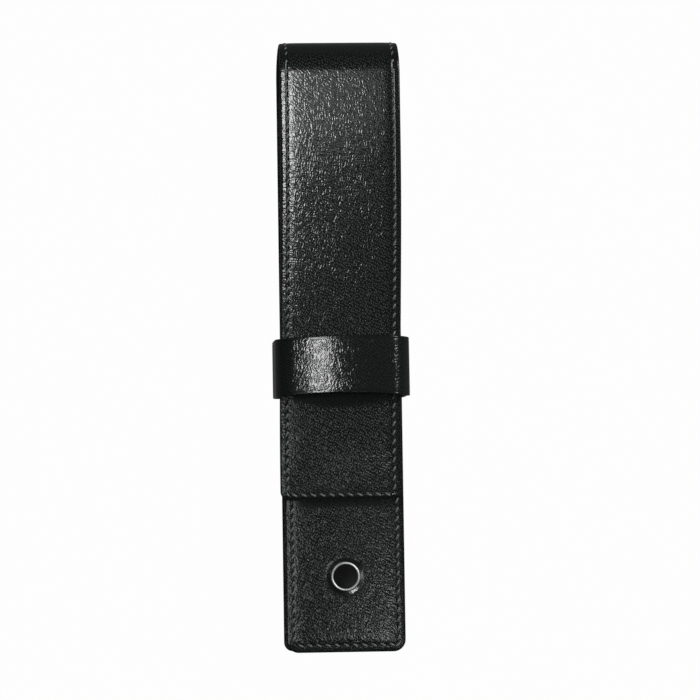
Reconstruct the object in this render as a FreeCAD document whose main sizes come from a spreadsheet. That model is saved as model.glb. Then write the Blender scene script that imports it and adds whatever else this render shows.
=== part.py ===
import FreeCAD, Part
import Sketcher
import math
import os
import re

# Fountain pen case: a one-pen leather pouch with a fold-over flap held by a sliding loop.
# Millimetres. The case lies on its back: +X across, +Y up to the fold, +Z out of the front.
# The origin is under the middle of the case, on the plane that the loop rests on.

SIZES = {
    # the whole case
    "case_length": 162.0,
    "body_width": 31.4,
    "pocket_height": 13.0,
    "mouth_drop": 15.0,
    "corner_radius": 3.2,
    # sheet materials
    "leather_thickness": 0.9,
    "board_thickness": 0.4,
    "lining_thickness": 0.4,
    "edge_round": 0.35,
    # gusset and seams
    "web_thickness": 0.8,
    "edge_overhang": 0.4,
    "seam_allowance": 3.5,
    "flange_corner_radius": 1.0,
    # flap and fold
    "flap_overhang": 0.25,
    "flap_reach": 122.0,
    "flap_clearance": 0.5,
    "flap_corner_radius": 2.5,
    "padding_thickness": 0.6,
    "padding_inset": 4.0,
    "field_inset": 3.2,
    "field_corner_radius": 2.0,
    "field_edge_round": 0.5,
    "hinge_gap": 0.3,
    # sliding loop
    "band_leather_thickness": 0.9,
    "band_lining_thickness": 0.6,
    "band_height": 15.2,
    "band_drop": 79.3,
    "band_side_clearance": 0.3,
    "band_back_clearance": 0.5,
    "band_front_clearance": 3.0,
    "band_arch_radius": 80.0,
    "band_corner_radius": 4.0,
    "band_back_corner_radius": 0.8,
    # emblem
    "emblem_diameter": 7.7,
    "emblem_rise": 19.9,
    "emblem_height": 1.1,
    "emblem_base": 0.4,
    "emblem_rim": 0.6,
    "insert_thickness": 0.5,
    "insert_edge_round": 0.3,
    "shank_diameter": 2.4,
    "washer_diameter": 6.0,
    "hole_play": 0.05,
    # stitches
    "stitch_pitch": 2.4,
    "stitch_length": 1.7,
    "stitch_width": 0.45,
    "stitch_height": 0.2,
    "body_stitch_margin": 1.85,
    "flap_stitch_margin": 1.85,
    "flap_end_margin": 1.4,
}

# Levels and edges that follow from the sizes
DERIVED = {
    "top_edge": "case_length / 2",
    "bottom_edge": "-case_length / 2",
    "mouth_edge": "case_length / 2 - mouth_drop",
    "half_body": "body_width / 2",
    "half_flap": "half_body + flap_overhang",
    "core_thickness": "board_thickness + lining_thickness",
    "back_level": "band_leather_thickness + band_lining_thickness + band_back_clearance",
    "back_core_level": "back_level + leather_thickness",
    "pocket_floor": "back_core_level + core_thickness",
    "pocket_roof": "pocket_floor + pocket_height",
    "front_level": "pocket_roof + core_thickness",
    "front_top": "front_level + leather_thickness",
    "flap_lining_level": "front_top + flap_clearance",
    "flap_level": "flap_lining_level + lining_thickness",
    "flap_top": "flap_level + leather_thickness",
    "field_top": "flap_top + padding_thickness",
    "fold_radius": "(flap_top - back_level) / 2",
    "fold_axis_y": "top_edge - fold_radius",
    "fold_axis_z": "back_level + fold_radius",
    "flap_end": "top_edge - flap_reach",
    "web_outer": "half_body - edge_overhang",
    "web_low": "bottom_edge + edge_overhang",
    "web_inner": "web_outer - web_thickness",
    "flange_inner": "half_body - seam_allowance",
    "flange_low": "bottom_edge + seam_allowance",
    "gusset_height": "pocket_height + 2 * core_thickness",
    "hinge_edge": "fold_axis_y - hinge_gap / 2",
    "hinge_gap_angle": "hinge_gap / 2 / fold_radius * 180 / pi",
    "band_low": "top_edge - band_drop - band_height",
    "band_inner_half": "half_flap + band_side_clearance",
    "band_crown": "field_top + band_front_clearance",
    "arch_centre": "band_crown - band_arch_radius",
    "emblem_y": "bottom_edge + emblem_rise",
    "emblem_radius": "emblem_diameter / 2",
    "insert_radius": "emblem_radius - emblem_rim - hole_play",
    "shank_radius": "shank_diameter / 2",
    "shank_hole_radius": "shank_radius + hole_play",
    "washer_radius": "washer_diameter / 2",
    "washer_hole_radius": "washer_radius + hole_play",
}

# Two points nearer than this are the same point
SAME_PLACE = 1e-4

doc = FreeCAD.newDocument("pen_case")
sheet = doc.addObject("Spreadsheet::Sheet", "sizes")


def fill_sheet():
    """Write every driving size as a plain number and every derived size as a formula."""
    row = 0
    for names, mark in ((SIZES, ""), (DERIVED, "=")):
        for name, content in names.items():
            row += 1
            sheet.set(f"A{row}", name)
            sheet.set(f"B{row}", f"{mark}{content}")
            sheet.setAlias(f"B{row}", name)
    doc.recompute()


fill_sheet()


def size(expression):
    """The number that an expression over the sheet comes to."""
    return float(sheet.evalExpression(expression))


def linked(expression):
    """The same expression as it is written in another object of the document."""
    known = set(SIZES) | set(DERIVED)
    return re.sub(
        "[a-z_]+", lambda word: f"sizes.{word[0]}" if word[0] in known else word[0],
        expression,
    )


def minus(expression):
    """The negative of an expression."""
    return f"-( {expression} )"


def bind(thing, path, expression):
    """Bind one property of a document object to the sheet."""
    thing.setExpression(path, linked(expression))


def new_body(label, lift=None, along=None):
    """An empty body, moved up and along the case by sheet expressions."""
    body = doc.addObject("PartDesign::Body", label)
    body.Label = label
    if lift:
        bind(body, "Placement.Base.z", lift)
    if along:
        bind(body, "Placement.Base.y", along)
    return body


def sketch_in(body, name, role="XY_Plane", lift=None):
    """A sketch on one of the body's own origin planes."""
    sketch = body.newObject("Sketcher::SketchObject", f"{body.Name}_{name}")
    plane = next(item for item in body.Origin.OriginFeatures if item.Role == role)
    sketch.AttachmentSupport = [(plane, "")]
    sketch.MapMode = "FlatFace"
    if lift:
        bind(sketch, "AttachmentOffset.Base.z", lift)
    return sketch


def fix_point(sketch, element, position, x, y):
    """Hold one sketch point at two sheet expressions."""
    for kind, expression in (("DistanceX", x), ("DistanceY", y)):
        rule = Sketcher.Constraint(kind, -1, 1, element, position, size(expression))
        number = sketch.addConstraint(rule)
        name = f"{kind}_{element}_{position}"
        sketch.renameConstraint(number, name)
        bind(sketch, f"Constraints.{name}", expression)


def add_outline(sketch, corners):
    """A closed outline of straight sides with every corner held by sheet expressions."""
    first = sketch.GeometryCount
    count = len(corners)
    points = [FreeCAD.Vector(size(x), size(y), 0) for x, y in corners]
    for n in range(count):
        sketch.addGeometry(Part.LineSegment(points[n], points[(n + 1) % count]), False)
    for n in range(count):
        rule = Sketcher.Constraint("Coincident", first + n, 2, first + (n + 1) % count, 1)
        sketch.addConstraint(rule)
    for n, (x, y) in enumerate(corners):
        fix_point(sketch, first + n, 1, x, y)


def add_circle(sketch, radius, y):
    """A circle on the middle line of the case."""
    centre = FreeCAD.Vector(0, size(y), 0)
    upward = FreeCAD.Vector(0, 0, 1)
    element = sketch.addGeometry(Part.Circle(centre, upward, size(radius)), False)
    sketch.addConstraint(Sketcher.Constraint("PointOnObject", element, 3, -2))
    rules = (
        (Sketcher.Constraint("DistanceY", -1, 1, element, 3, size(y)), "centre_y", y),
        (Sketcher.Constraint("Radius", element, size(radius)), "radius", radius),
    )
    for rule, name, expression in rules:
        sketch.renameConstraint(sketch.addConstraint(rule), name)
        bind(sketch, f"Constraints.{name}", expression)


def add_arched_loop(sketch, half, low, radius, name):
    """A flat-backed loop outline with upright sides and one shallow arch across the front."""
    shoulder = f"arch_centre + sqrt( ( {radius} ) * ( {radius} ) - ( {half} ) * ( {half} ) )"
    corners = [(minus(half), shoulder), (minus(half), low), (half, low), (half, shoulder)]
    points = [FreeCAD.Vector(size(x), size(y), 0) for x, y in corners]
    top = FreeCAD.Vector(0, size(f"arch_centre + {radius}"), 0)
    first = sketch.GeometryCount
    for n in range(3):
        sketch.addGeometry(Part.LineSegment(points[n], points[n + 1]), False)
    arch = sketch.addGeometry(Part.Arc(points[3], top, points[0]), False)
    for n in range(2):
        sketch.addConstraint(Sketcher.Constraint("Coincident", first + n, 2, first + n + 1, 1))
    sketch.addConstraint(Sketcher.Constraint("Coincident", first + 2, 2, arch, 1))
    sketch.addConstraint(Sketcher.Constraint("Coincident", first, 1, arch, 2))
    for n in range(3):
        fix_point(sketch, first + n, 1, *corners[n])
    fix_point(sketch, first + 2, 2, *corners[3])
    number = sketch.addConstraint(Sketcher.Constraint("Radius", arch, size(radius)))
    sketch.renameConstraint(number, f"arch_{name}")
    bind(sketch, f"Constraints.arch_{name}", radius)


def feature_from(body, kind, sketch, length=None, turned=False):
    """A pad, pocket or other feature made from one sketch."""
    feature = body.newObject(f"PartDesign::{kind}", f"{sketch.Name}_{kind}")
    feature.Profile = sketch
    feature.Reversed = turned
    if length:
        bind(feature, "Length", length)
    doc.recompute()
    return feature


def revolve(body, sketch, axis, angle):
    """A revolution of a sketch about one of its own axes."""
    feature = body.newObject("PartDesign::Revolution", f"{sketch.Name}_turn")
    feature.Profile = sketch
    feature.ReferenceAxis = (sketch, [axis])
    bind(feature, "Angle", angle)
    doc.recompute()
    return feature


def edges_along(feature, axis, spots):
    """Names of the straight edges that run along one axis through the given spots."""
    others = [n for n in range(3) if n != axis]
    found = []
    for number, edge in enumerate(feature.Shape.Edges, start=1):
        ends = [vertex.Point for vertex in edge.Vertexes]
        if len(ends) != 2:
            continue
        for spot in spots:
            if all(abs(end[o] - s) < SAME_PLACE for end in ends for o, s in zip(others, spot)):
                found.append(f"Edge{number}")
    return found


def edges_at_level(feature, level):
    """Names of the edges that lie at one height in the body."""
    found = []
    for number, edge in enumerate(feature.Shape.Edges, start=1):
        box = edge.BoundBox
        if abs(box.ZMin - level) < SAME_PLACE and abs(box.ZMax - level) < SAME_PLACE:
            found.append(f"Edge{number}")
    return found


def round_off(body, feature, edges, radius):
    """A fillet on named edges of the body's last feature."""
    fillet = body.newObject("PartDesign::Fillet", f"{feature.Name}_round")
    fillet.Base = (feature, edges)
    bind(fillet, "Radius", radius)
    doc.recompute()
    return fillet


def both_sides(x, y):
    """Two spots, mirrored across the middle of the case."""
    return [(-size(x), size(y)), (size(x), size(y))]


def add_plate(label, half, low, high, thickness, lift, radius=None):
    """A flat sheet with straight sides, rounded at its two lower corners."""
    body = new_body(label, lift)
    sketch = sketch_in(body, "outline")
    add_outline(sketch, [(minus(half), low), (half, low), (half, high), (minus(half), high)])
    plate = feature_from(body, "Pad", sketch, thickness)
    if radius:
        plate = round_off(body, plate, edges_along(plate, 2, both_sides(half, low)), radius)
    return body, plate


def add_u_strip(body, name, outer, outer_low, inner, inner_low, height, lift=None):
    """A U-shaped strip along both sides and the bottom of the case."""
    sketch = sketch_in(body, name, lift=lift)
    corners = [
        (minus(outer), "mouth_edge"),
        (minus(outer), outer_low),
        (outer, outer_low),
        (outer, "mouth_edge"),
        (inner, "mouth_edge"),
        (inner, inner_low),
        (minus(inner), inner_low),
        (minus(inner), "mouth_edge"),
    ]
    add_outline(sketch, corners)
    return feature_from(body, "Pad", sketch, height)


# Outer leather of the back, which runs on past the mouth to the fold
back_leather, back_plate = add_plate(
    "back_leather", "half_body", "bottom_edge", "hinge_edge",
    "leather_thickness", "back_level", "corner_radius",
)
round_off(back_leather, back_plate, edges_at_level(back_plate, 0), "edge_round")

# Stiffening board and lining of the back, between the gusset flanges
add_plate(
    "back_board", "flange_inner", "flange_low", "hinge_edge",
    "board_thickness", "back_core_level", "flange_corner_radius",
)
add_plate(
    "back_lining", "flange_inner", "flange_low", "hinge_edge",
    "lining_thickness", "back_core_level + board_thickness", "flange_corner_radius",
)

# Gusset: one folded strip that walls the two sides and the bottom
gusset_leather = new_body("gusset_leather", "back_core_level")
add_u_strip(
    gusset_leather, "web", "web_outer", "web_low",
    "web_inner", "web_low + web_thickness", "gusset_height",
)
add_u_strip(
    gusset_leather, "back_flange", "web_outer", "web_low",
    "flange_inner", "flange_low", "core_thickness",
)
gusset_solid = add_u_strip(
    gusset_leather, "front_flange", "web_outer", "web_low",
    "flange_inner", "flange_low", "core_thickness", "gusset_height - core_thickness",
)
for spot_x, spot_y, spot_radius in (
    ("flange_inner", "flange_low", "flange_corner_radius"),
    ("web_inner", "web_low + web_thickness", "corner_radius - edge_overhang - web_thickness"),
    ("web_outer", "web_low", "corner_radius - edge_overhang"),
):
    corner_edges = edges_along(gusset_solid, 2, both_sides(spot_x, spot_y))
    gusset_solid = round_off(gusset_leather, gusset_solid, corner_edges, spot_radius)

gusset_lining = new_body("gusset_lining", "pocket_floor")
lining_strip = add_u_strip(
    gusset_lining, "web", "web_inner", "web_low + web_thickness", "web_inner - lining_thickness",
    "web_low + web_thickness + lining_thickness", "pocket_height",
)
for spot_x, spot_y, spot_radius in (
    (
        "web_inner - lining_thickness",
        "web_low + web_thickness + lining_thickness",
        "corner_radius - edge_overhang - web_thickness - lining_thickness",
    ),
    ("web_inner", "web_low + web_thickness", "corner_radius - edge_overhang - web_thickness"),
):
    corner_edges = edges_along(lining_strip, 2, both_sides(spot_x, spot_y))
    lining_strip = round_off(gusset_lining, lining_strip, corner_edges, spot_radius)

# Front panel, open at the mouth, with the hole for the emblem's shank
front_leather, front_plate = add_plate(
    "front_leather", "half_body", "bottom_edge", "mouth_edge",
    "leather_thickness", "front_level", "corner_radius",
)
front_plate = round_off(
    front_leather, front_plate, edges_at_level(front_plate, size("leather_thickness")), "edge_round"
)
shank_hole = sketch_in(front_leather, "shank_hole")
add_circle(shank_hole, "shank_hole_radius", "emblem_y")
feature_from(front_leather, "Pocket", shank_hole, "leather_thickness", turned=True)

front_board, _ = add_plate(
    "front_board", "flange_inner", "flange_low", "mouth_edge",
    "board_thickness", "pocket_roof + lining_thickness", "flange_corner_radius",
)
washer_hole = sketch_in(front_board, "washer_hole")
add_circle(washer_hole, "washer_hole_radius", "emblem_y")
feature_from(front_board, "Pocket", washer_hole, "board_thickness", turned=True)

add_plate(
    "front_lining", "flange_inner", "flange_low", "mouth_edge",
    "lining_thickness", "pocket_roof", "flange_corner_radius",
)

# Emblem: a rimmed metal cup on a shank, a plain domed insert, and the washer that holds it
emblem_bezel = new_body("emblem_bezel", "front_top", "emblem_y")
bezel_sketch = sketch_in(emblem_bezel, "profile", "XZ_Plane")
on_axis = "0"
shank_foot = "-leather_thickness - board_thickness"
rim_inner = "emblem_radius - emblem_rim"
rim_break = "emblem_rim / 3"
add_outline(
    bezel_sketch,
    [
        (on_axis, shank_foot),
        ("shank_radius", shank_foot),
        ("shank_radius", on_axis),
        ("emblem_radius", on_axis),
        ("emblem_radius", f"emblem_height - {rim_break}"),
        (f"emblem_radius - {rim_break}", "emblem_height"),
        (f"{rim_inner} + {rim_break}", "emblem_height"),
        (rim_inner, f"emblem_height - {rim_break}"),
        (rim_inner, "emblem_base"),
        (on_axis, "emblem_base"),
    ],
)
full_turn = "360"
revolve(emblem_bezel, bezel_sketch, "V_Axis", full_turn)

emblem_disc = new_body("emblem_disc", "front_top + emblem_base", "emblem_y")
disc_sketch = sketch_in(emblem_disc, "outline")
add_circle(disc_sketch, "insert_radius", "0")
disc_pad = feature_from(emblem_disc, "Pad", disc_sketch, "insert_thickness")
round_off(emblem_disc, disc_pad, edges_at_level(disc_pad, size("insert_thickness")), "insert_edge_round")

emblem_washer = new_body("emblem_washer", "front_level - board_thickness", "emblem_y")
washer_sketch = sketch_in(emblem_washer, "profile", "XZ_Plane")
add_outline(
    washer_sketch,
    [
        ("shank_hole_radius", on_axis),
        ("washer_radius", on_axis),
        ("washer_radius", "board_thickness"),
        ("shank_hole_radius", "board_thickness"),
    ],
)
revolve(emblem_washer, washer_sketch, "V_Axis", full_turn)


def add_fold_piece(label, inner, outer, start):
    """A quarter of the rounded fold, cut back at both ends by half a hinge gap."""
    body = new_body(label, "fold_axis_z", "fold_axis_y")
    sketch = sketch_in(body, "section")
    left = minus("half_flap")
    add_outline(sketch, [(left, inner), ("half_flap", inner), ("half_flap", outer), (left, outer)])
    revolve(body, sketch, "H_Axis", "90 - 2 * hinge_gap_angle")
    for unused in ("Yaw", "Pitch"):
        bind(body, f"Placement.Rotation.{unused}", "0")
    bind(body, "Placement.Rotation.Roll", f"{start} + hinge_gap_angle")
    return body


# Rounded fold, in two quarters of the same leather strip and its lining
leather_ring = ("fold_radius - leather_thickness", "fold_radius")
lining_ring = ("fold_radius - leather_thickness - lining_thickness", "fold_radius - leather_thickness")
for quarter, start in (("fold_back", "-90"), ("fold_front", "0")):
    add_fold_piece(f"{quarter}_leather", *leather_ring, start)
    add_fold_piece(f"{quarter}_lining", *lining_ring, start)

# Flap: leather moulded over a thin padding, with a flat stitched margin, and its lining
flap_leather, flap_plate = add_plate(
    "flap_leather", "half_flap", "flap_end", "hinge_edge",
    "leather_thickness", "flap_level", "flap_corner_radius",
)
field_sketch = sketch_in(flap_leather, "field", lift="leather_thickness")
field_half = "half_flap - field_inset"
field_low = "flap_end + field_inset"
field_high = "hinge_edge - field_inset"
add_outline(
    field_sketch,
    [
        (minus(field_half), field_low),
        (field_half, field_low),
        (field_half, field_high),
        (minus(field_half), field_high),
    ],
)
flap_solid = feature_from(flap_leather, "Pad", field_sketch, "padding_thickness")
field_corners = both_sides(field_half, field_low) + both_sides(field_half, field_high)
field_edges = edges_along(flap_solid, 2, field_corners)
flap_solid = round_off(flap_leather, flap_solid, field_edges, "field_corner_radius")
field_rim = edges_at_level(flap_solid, size("leather_thickness + padding_thickness"))
flap_solid = round_off(flap_leather, flap_solid, field_rim, "field_edge_round")
cavity_sketch = sketch_in(flap_leather, "cavity")
cavity_half = "half_flap - padding_inset"
cavity_low = "flap_end + padding_inset"
cavity_high = "hinge_edge - padding_inset"
cavity_corners = [
    (minus(cavity_half), cavity_low),
    (cavity_half, cavity_low),
    (cavity_half, cavity_high),
    (minus(cavity_half), cavity_high),
]
add_outline(cavity_sketch, cavity_corners)
feature_from(flap_leather, "Pocket", cavity_sketch, "padding_thickness", turned=True)

flap_padding = new_body("flap_padding", "flap_level")
padding_sketch = sketch_in(flap_padding, "outline")
add_outline(padding_sketch, cavity_corners)
feature_from(flap_padding, "Pad", padding_sketch, "padding_thickness")

add_plate(
    "flap_lining", "half_flap", "flap_end", "hinge_edge",
    "lining_thickness", "flap_lining_level", "flap_corner_radius",
)


def add_band_ring(label, inner_extra, thickness):
    """One layer of the closed loop, offset outward from the loop's inside."""
    body = new_body(label, along="band_low")
    sketch = sketch_in(body, "ring", "XZ_Plane")
    back_inside = "band_leather_thickness + band_lining_thickness"
    corners = []
    for name, offset in (("inner", inner_extra), ("outer", f"{inner_extra} + {thickness}")):
        half = f"band_inner_half + {offset}"
        low = f"{back_inside} - ( {offset} )"
        radius = f"band_arch_radius + {offset}"
        add_arched_loop(sketch, half, low, radius, name)
        shoulder = f"arch_centre + sqrt( ( {radius} ) * ( {radius} ) - ( {half} ) * ( {half} ) )"
        corners.append((both_sides(half, low), f"band_back_corner_radius + {offset}"))
        corners.append((both_sides(half, shoulder), f"band_corner_radius + {offset}"))
    ring = feature_from(body, "Pad", sketch, "band_height", turned=True)
    for spots, radius in corners:
        ring = round_off(body, ring, edges_along(ring, 1, spots), radius)
    return body


# Sliding loop: an outer leather strip on a lining strip, both closed into rings
add_band_ring("band_lining", "0", "band_lining_thickness")
add_band_ring("band_leather", "band_lining_thickness", "band_leather_thickness")


# Lines that the seams follow
upward = FreeCAD.Vector(0, 0, 1)
downward = FreeCAD.Vector(0, 0, -1)
body_row = size("half_body - body_stitch_margin")
body_row_low = size("bottom_edge + body_stitch_margin")
flap_row = size("half_flap - flap_stitch_margin")
flap_row_low = size("flap_end + flap_end_margin")
seam_top = size("mouth_edge")


def stitch():
    """One stitch lying along X on the plane z = 0, centred on the origin."""
    block = Part.makeBox(size("stitch_length"), size("stitch_width"), size("stitch_height"))
    block.translate(FreeCAD.Vector(-size("stitch_length") / 2, -size("stitch_width") / 2, 0))
    return block


def stitch_row(start, end, up):
    """Evenly spaced stitches along a straight line, standing out along the direction up."""
    along = end - start
    count = int(along.Length / size("stitch_pitch"))
    step = along / count
    across = up.cross(along)
    turn = FreeCAD.Rotation(along, across, up, "ZXY")
    row = []
    for n in range(count):
        middle = start + step * (n + 0.5)
        row.append(stitch().transformed(FreeCAD.Placement(middle, turn).toMatrix()))
    return row


def u_seam(half, low, high, level, up):
    """Stitches down one side, across the bottom and up the other side."""
    turn_room = size("stitch_pitch") / 2
    row = []
    for side in (-1, 1):
        top = FreeCAD.Vector(side * half, high, level)
        row += stitch_row(top, FreeCAD.Vector(side * half, low + turn_room, level), up)
    left = FreeCAD.Vector(-half + turn_room, low, level)
    row += stitch_row(left, FreeCAD.Vector(half - turn_room, low, level), up)
    return row


def fold_seam(start):
    """Stitches round one quarter of the fold, near both edges of the strip."""
    radius = size("fold_radius")
    axis_y, axis_z = size("fold_axis_y"), size("fold_axis_z")
    gap = math.radians(size("hinge_gap_angle"))
    count = int(radius * math.pi / 2 / size("stitch_pitch"))
    row = []
    for side in (-1, 1):
        for n in range(count):
            angle = math.radians(start) + gap + (n + 0.5) * (math.pi / 2 - 2 * gap) / count
            up = FreeCAD.Vector(0, math.cos(angle), math.sin(angle))
            along = FreeCAD.Vector(0, -math.sin(angle), math.cos(angle))
            turn = FreeCAD.Rotation(along, up.cross(along), up, "ZXY")
            middle = FreeCAD.Vector(side * flap_row, axis_y, axis_z) + up * radius
            row.append(stitch().transformed(FreeCAD.Placement(middle, turn).toMatrix()))
    return row


def add_thread(label, stitches):
    """All the visible stitches of one seam, as one piece of thread work."""
    thread = doc.addObject("Part::Feature", label)
    thread.Label = label
    thread.Shape = Part.makeCompound(stitches)
    thread.Placement = FreeCAD.Placement()
    return thread


# Thread of every seam that shows
front_seam = u_seam(body_row, body_row_low, seam_top, size("front_top"), upward)
back_seam = u_seam(body_row, body_row_low, seam_top, size("back_level"), downward)
flap_seam = u_seam(flap_row, flap_row_low, size("hinge_edge"), size("flap_top"), upward)
threads = [
    add_thread("front_seam_thread", front_seam),
    add_thread("back_seam_thread", back_seam),
    add_thread("fold_back_thread", fold_seam(-90)),
    add_thread("fold_front_thread", fold_seam(0)),
    add_thread("flap_thread", flap_seam),
]

doc.recompute()


def write_pieces():
    """Check every object and write each piece of the case to its own file."""
    os.makedirs("parts", exist_ok=True)
    faults = [item.Name for item in doc.Objects if {"Invalid", "Error"} & set(item.State)]
    bodies = [item for item in doc.Objects if item.TypeId == "PartDesign::Body"]
    for piece in bodies + threads:
        shape = piece.Shape
        if shape.isNull() or not shape.isValid() or not shape.Solids:
            faults.append(piece.Label)
            continue
        shape.exportStep(f"parts/{piece.Label}.step")
        box = shape.BoundBox
        spans = (box.XMin, box.XMax, box.YMin, box.YMax, box.ZMin, box.ZMax)
        print(piece.Label, len(shape.Solids), round(shape.Volume, 2), [round(v, 3) for v in spans])
    if faults:
        raise RuntimeError(f"not sound: {faults}")


write_pieces()
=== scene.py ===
# %% [markdown]
# # Dressing a leather case for one pen
# A leather worker makes this case from a few flat pieces: one long strip that is the back, the
# rolled fold and the flap, a front panel, a narrow side wall bent into a U, and a loop that the
# flap tucks under. The frame holds their real places, so this script only adds what the eye
# sees: skin with grain, padding, seams with thread, painted edges and a polished button.

# %% Load the frame
import math

import bmesh
import bpy
import numpy as np
from mathutils import Matrix, Vector


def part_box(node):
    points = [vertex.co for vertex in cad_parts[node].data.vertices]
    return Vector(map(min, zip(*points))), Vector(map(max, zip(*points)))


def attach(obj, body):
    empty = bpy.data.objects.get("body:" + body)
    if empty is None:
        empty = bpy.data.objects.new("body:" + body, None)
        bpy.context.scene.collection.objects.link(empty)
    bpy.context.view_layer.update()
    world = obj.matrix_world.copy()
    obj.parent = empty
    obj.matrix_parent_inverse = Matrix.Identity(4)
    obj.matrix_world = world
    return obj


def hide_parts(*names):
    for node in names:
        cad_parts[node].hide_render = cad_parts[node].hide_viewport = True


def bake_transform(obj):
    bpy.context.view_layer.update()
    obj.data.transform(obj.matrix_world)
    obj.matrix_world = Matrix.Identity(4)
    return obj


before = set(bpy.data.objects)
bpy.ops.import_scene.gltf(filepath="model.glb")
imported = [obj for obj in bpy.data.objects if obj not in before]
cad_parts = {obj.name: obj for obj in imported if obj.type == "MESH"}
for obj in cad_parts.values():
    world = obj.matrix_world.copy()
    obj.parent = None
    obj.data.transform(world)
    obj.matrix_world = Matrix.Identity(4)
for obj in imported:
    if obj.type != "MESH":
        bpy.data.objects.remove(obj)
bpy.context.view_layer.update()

MM = 0.001

# %% [markdown]
# ## Reading sizes from the frame
# Every solid of the frame already has its place, so the sizes below are read from the corners
# of those solids and not typed in again. Work is done in millimetres, as on a leather bench,
# and turned to metres only when a mesh is made.

# %% Sizes that come from the solids


def corners(node):
    """Lowest and highest corner of a solid, in millimetres."""
    low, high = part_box(node)
    return np.array(low) / MM, np.array(high) / MM


back_low, back_high = corners("back_leather")
front_low, front_high = corners("front_leather")
flap_low, flap_high = corners("flap_leather")
fold_high = corners("fold_front_leather")[1]
band_low, band_high = corners("band_leather")
board_low, board_high = corners("back_board")

leather = back_high[2] - back_low[2]
board = board_high[2] - board_low[2]
half_body = back_high[0]
half_flap = flap_high[0]
bottom_edge = back_low[1]
mouth_edge = front_high[1]
flap_end = flap_low[1]
fold_radius = (fold_high[2] - back_low[2]) / 2
fold_middle_y = fold_high[1] - fold_radius
fold_middle_z = back_low[2] + fold_radius
print("leather", leather.round(2), "fold radius", fold_radius.round(2), "mm")

# %% [markdown]
# ## From a grid of points to a mesh
# Most pieces here are grids: rows along the piece and columns across it. One function lists the
# four-sided faces of such a grid, and another makes the mesh. Points that fall on each other, as
# at the rim of a sheet, are merged, so that face and back join there, and all faces are turned outwards.

# %% Faces of a grid and the mesh made from them
WELD = 2e-6
SHARP_ANGLE = math.radians(48)


def grid_faces(rows, columns, wrap_rows=False, wrap_columns=False):
    """Joins each point of a grid to its neighbour in the row and to the two beside them in the next."""
    row = np.arange(rows if wrap_rows else rows - 1)
    column = np.arange(columns if wrap_columns else columns - 1)
    row, column = np.meshgrid(row, column, indexing="ij")
    next_row = (row + 1) % rows
    next_column = (column + 1) % columns
    quads = [row * columns + column, row * columns + next_column,
             next_row * columns + next_column, next_row * columns + column]
    return np.stack(quads, axis=-1).reshape(-1, 4)


def end_caps(rows, columns):
    """Caps both ends of a flat tube: each point of its face is joined to the one behind it.

    A sliver at each rim, where face and back meet in one point, stays open.
    """
    near = np.arange(columns // 2)
    far = (columns - near) % columns
    cap = np.stack([near, near + 1, (columns - near - 1) % columns, far], axis=-1)
    return np.concatenate([cap, cap + (rows - 1) * columns])


def make_piece(name, points, faces, finish, grain=None, hide=None):
    """Makes a smooth, outward-facing mesh of points in millimetres and merges those that coincide.

    Grain, the depth of the pebbles, and hide, the place of a point on the flat hide, are kept per point.
    """
    mesh = bpy.data.meshes.new(name)
    mesh.from_pydata(points.reshape(-1, 3) * MM, [], faces)
    if grain is not None:
        layer = mesh.attributes.new("grain", "FLOAT", "POINT")
        layer.data.foreach_set("value", np.asarray(grain, np.float32).ravel())
    if hide is not None:
        layer = mesh.attributes.new("hide", "FLOAT_VECTOR", "POINT")
        flat_place = np.stack(np.broadcast_arrays(*hide, 0.0), axis=-1) * MM
        layer.data.foreach_set("vector", flat_place.astype(np.float32).ravel())
    work = bmesh.new()
    work.from_mesh(mesh)
    bmesh.ops.remove_doubles(work, verts=work.verts, dist=WELD)
    bmesh.ops.recalc_face_normals(work, faces=work.faces)
    work.to_mesh(mesh)
    work.free()
    mesh.shade_smooth()
    mesh.set_sharp_from_angle(angle=SHARP_ANGLE)
    mesh.materials.append(finish)
    piece = bpy.data.objects.new(name, mesh)
    bpy.context.scene.collection.objects.link(piece)
    print(name, "has", len(mesh.polygons), "faces")
    return piece


print("faces of a grid of 3 by 4 points:", len(grid_faces(3, 4)))

# %% [markdown]
# ## Finishes
# A finish is a small tree of nodes. One function adds a node, sets its values and links its
# inputs, so that each finish reads as a short list. Colours are written as on a colour chart, in
# sRGB hex, and turned to the linear values that a renderer adds up.

# %% Helpers for finishes


def colour(code):
    """Linear colour of an sRGB hex code: each channel below 0.04045 is divided, the rest is a power."""
    channel = np.array([int(code[i:i + 2], 16) for i in (1, 3, 5)]) / 255
    linear = np.where(channel <= 0.04045, channel / 12.92, ((channel + 0.055) / 1.055) ** 2.4)
    return (*linear.tolist(), 1.0)


def add(tree, kind, settings=None, values=None, links=None):
    """Adds a node of a kind, sets its properties and input values, and links inputs to outputs."""
    node = tree.nodes.new(kind)
    for key, value in (settings or {}).items():
        setattr(node, key, value)
    for key, value in (values or {}).items():
        node.inputs[key].default_value = value
    for key, source in (links or {}).items():
        tree.links.new(source, node.inputs[key])
    return node


def new_finish(name):
    """An empty material with its node tree."""
    finish = bpy.data.materials.new(name)
    finish.use_nodes = True
    finish.node_tree.nodes.clear()
    return finish, finish.node_tree


def per_metre(size_mm):
    """Scale of a pattern whose cells have a size in millimetres, in Object coordinates in metres."""
    return 1 / (size_mm * MM)


def noise(tree, place, size_mm, detail):
    """Soft noise whose lumps have a size in millimetres, in Object coordinates."""
    return add(tree, "ShaderNodeTexNoise", values={"Scale": per_metre(size_mm), "Detail": detail},
               links={"Vector": place.outputs["Object"]})


def surfaced(finish, tree, values, links):
    """Ends a finish with one surface, whose inputs are constants or come from the tree."""
    surface = add(tree, "ShaderNodeBsdfPrincipled", values=values, links=links)
    add(tree, "ShaderNodeOutputMaterial", links={"Surface": surface.outputs["BSDF"]})
    return finish


print("mid grey of the chart is", round(colour("#808080")[0], 3), "in linear light")

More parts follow.
